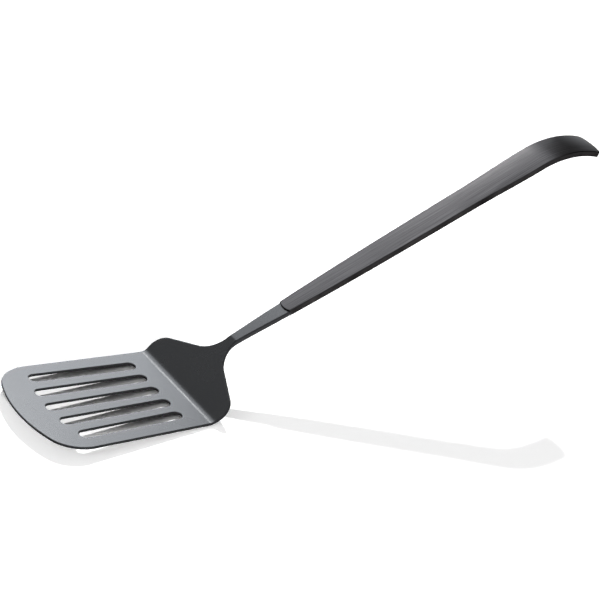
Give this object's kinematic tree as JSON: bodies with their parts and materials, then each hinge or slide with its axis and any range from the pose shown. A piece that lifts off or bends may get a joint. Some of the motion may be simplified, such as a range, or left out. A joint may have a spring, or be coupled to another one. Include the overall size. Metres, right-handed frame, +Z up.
{
  "type": "slotted turner",
  "caption": "Slotted turner with a thin black moulded head, a bent shoulder and neck, and a brushed black steel-topped handle that ends in a hook.",
  "frame": {"origin": "on the blade's underside, on the middle line, in the solid strip between the slots and the crease", "axes": "+Y along the tool towards the handle's hook, +Z up from the blade's top face, X across the blade"},
  "size_m": [0.0884, 0.3724, 0.1334],
  "materials": {
    "nylon": "satin black glass-filled nylon",
    "black_steel": "black coated steel, brushed lengthwise",
    "backing": "satin black nylon",
    "rivet_steel": "black coated steel, flush and finely turned"
  },
  "bodies": {
    "root": {"turner_head": "nylon", "handle_shell": "black_steel", "handle_back": "backing", "handle_rivets": "rivet_steel"}
  },
  "joints": []
}
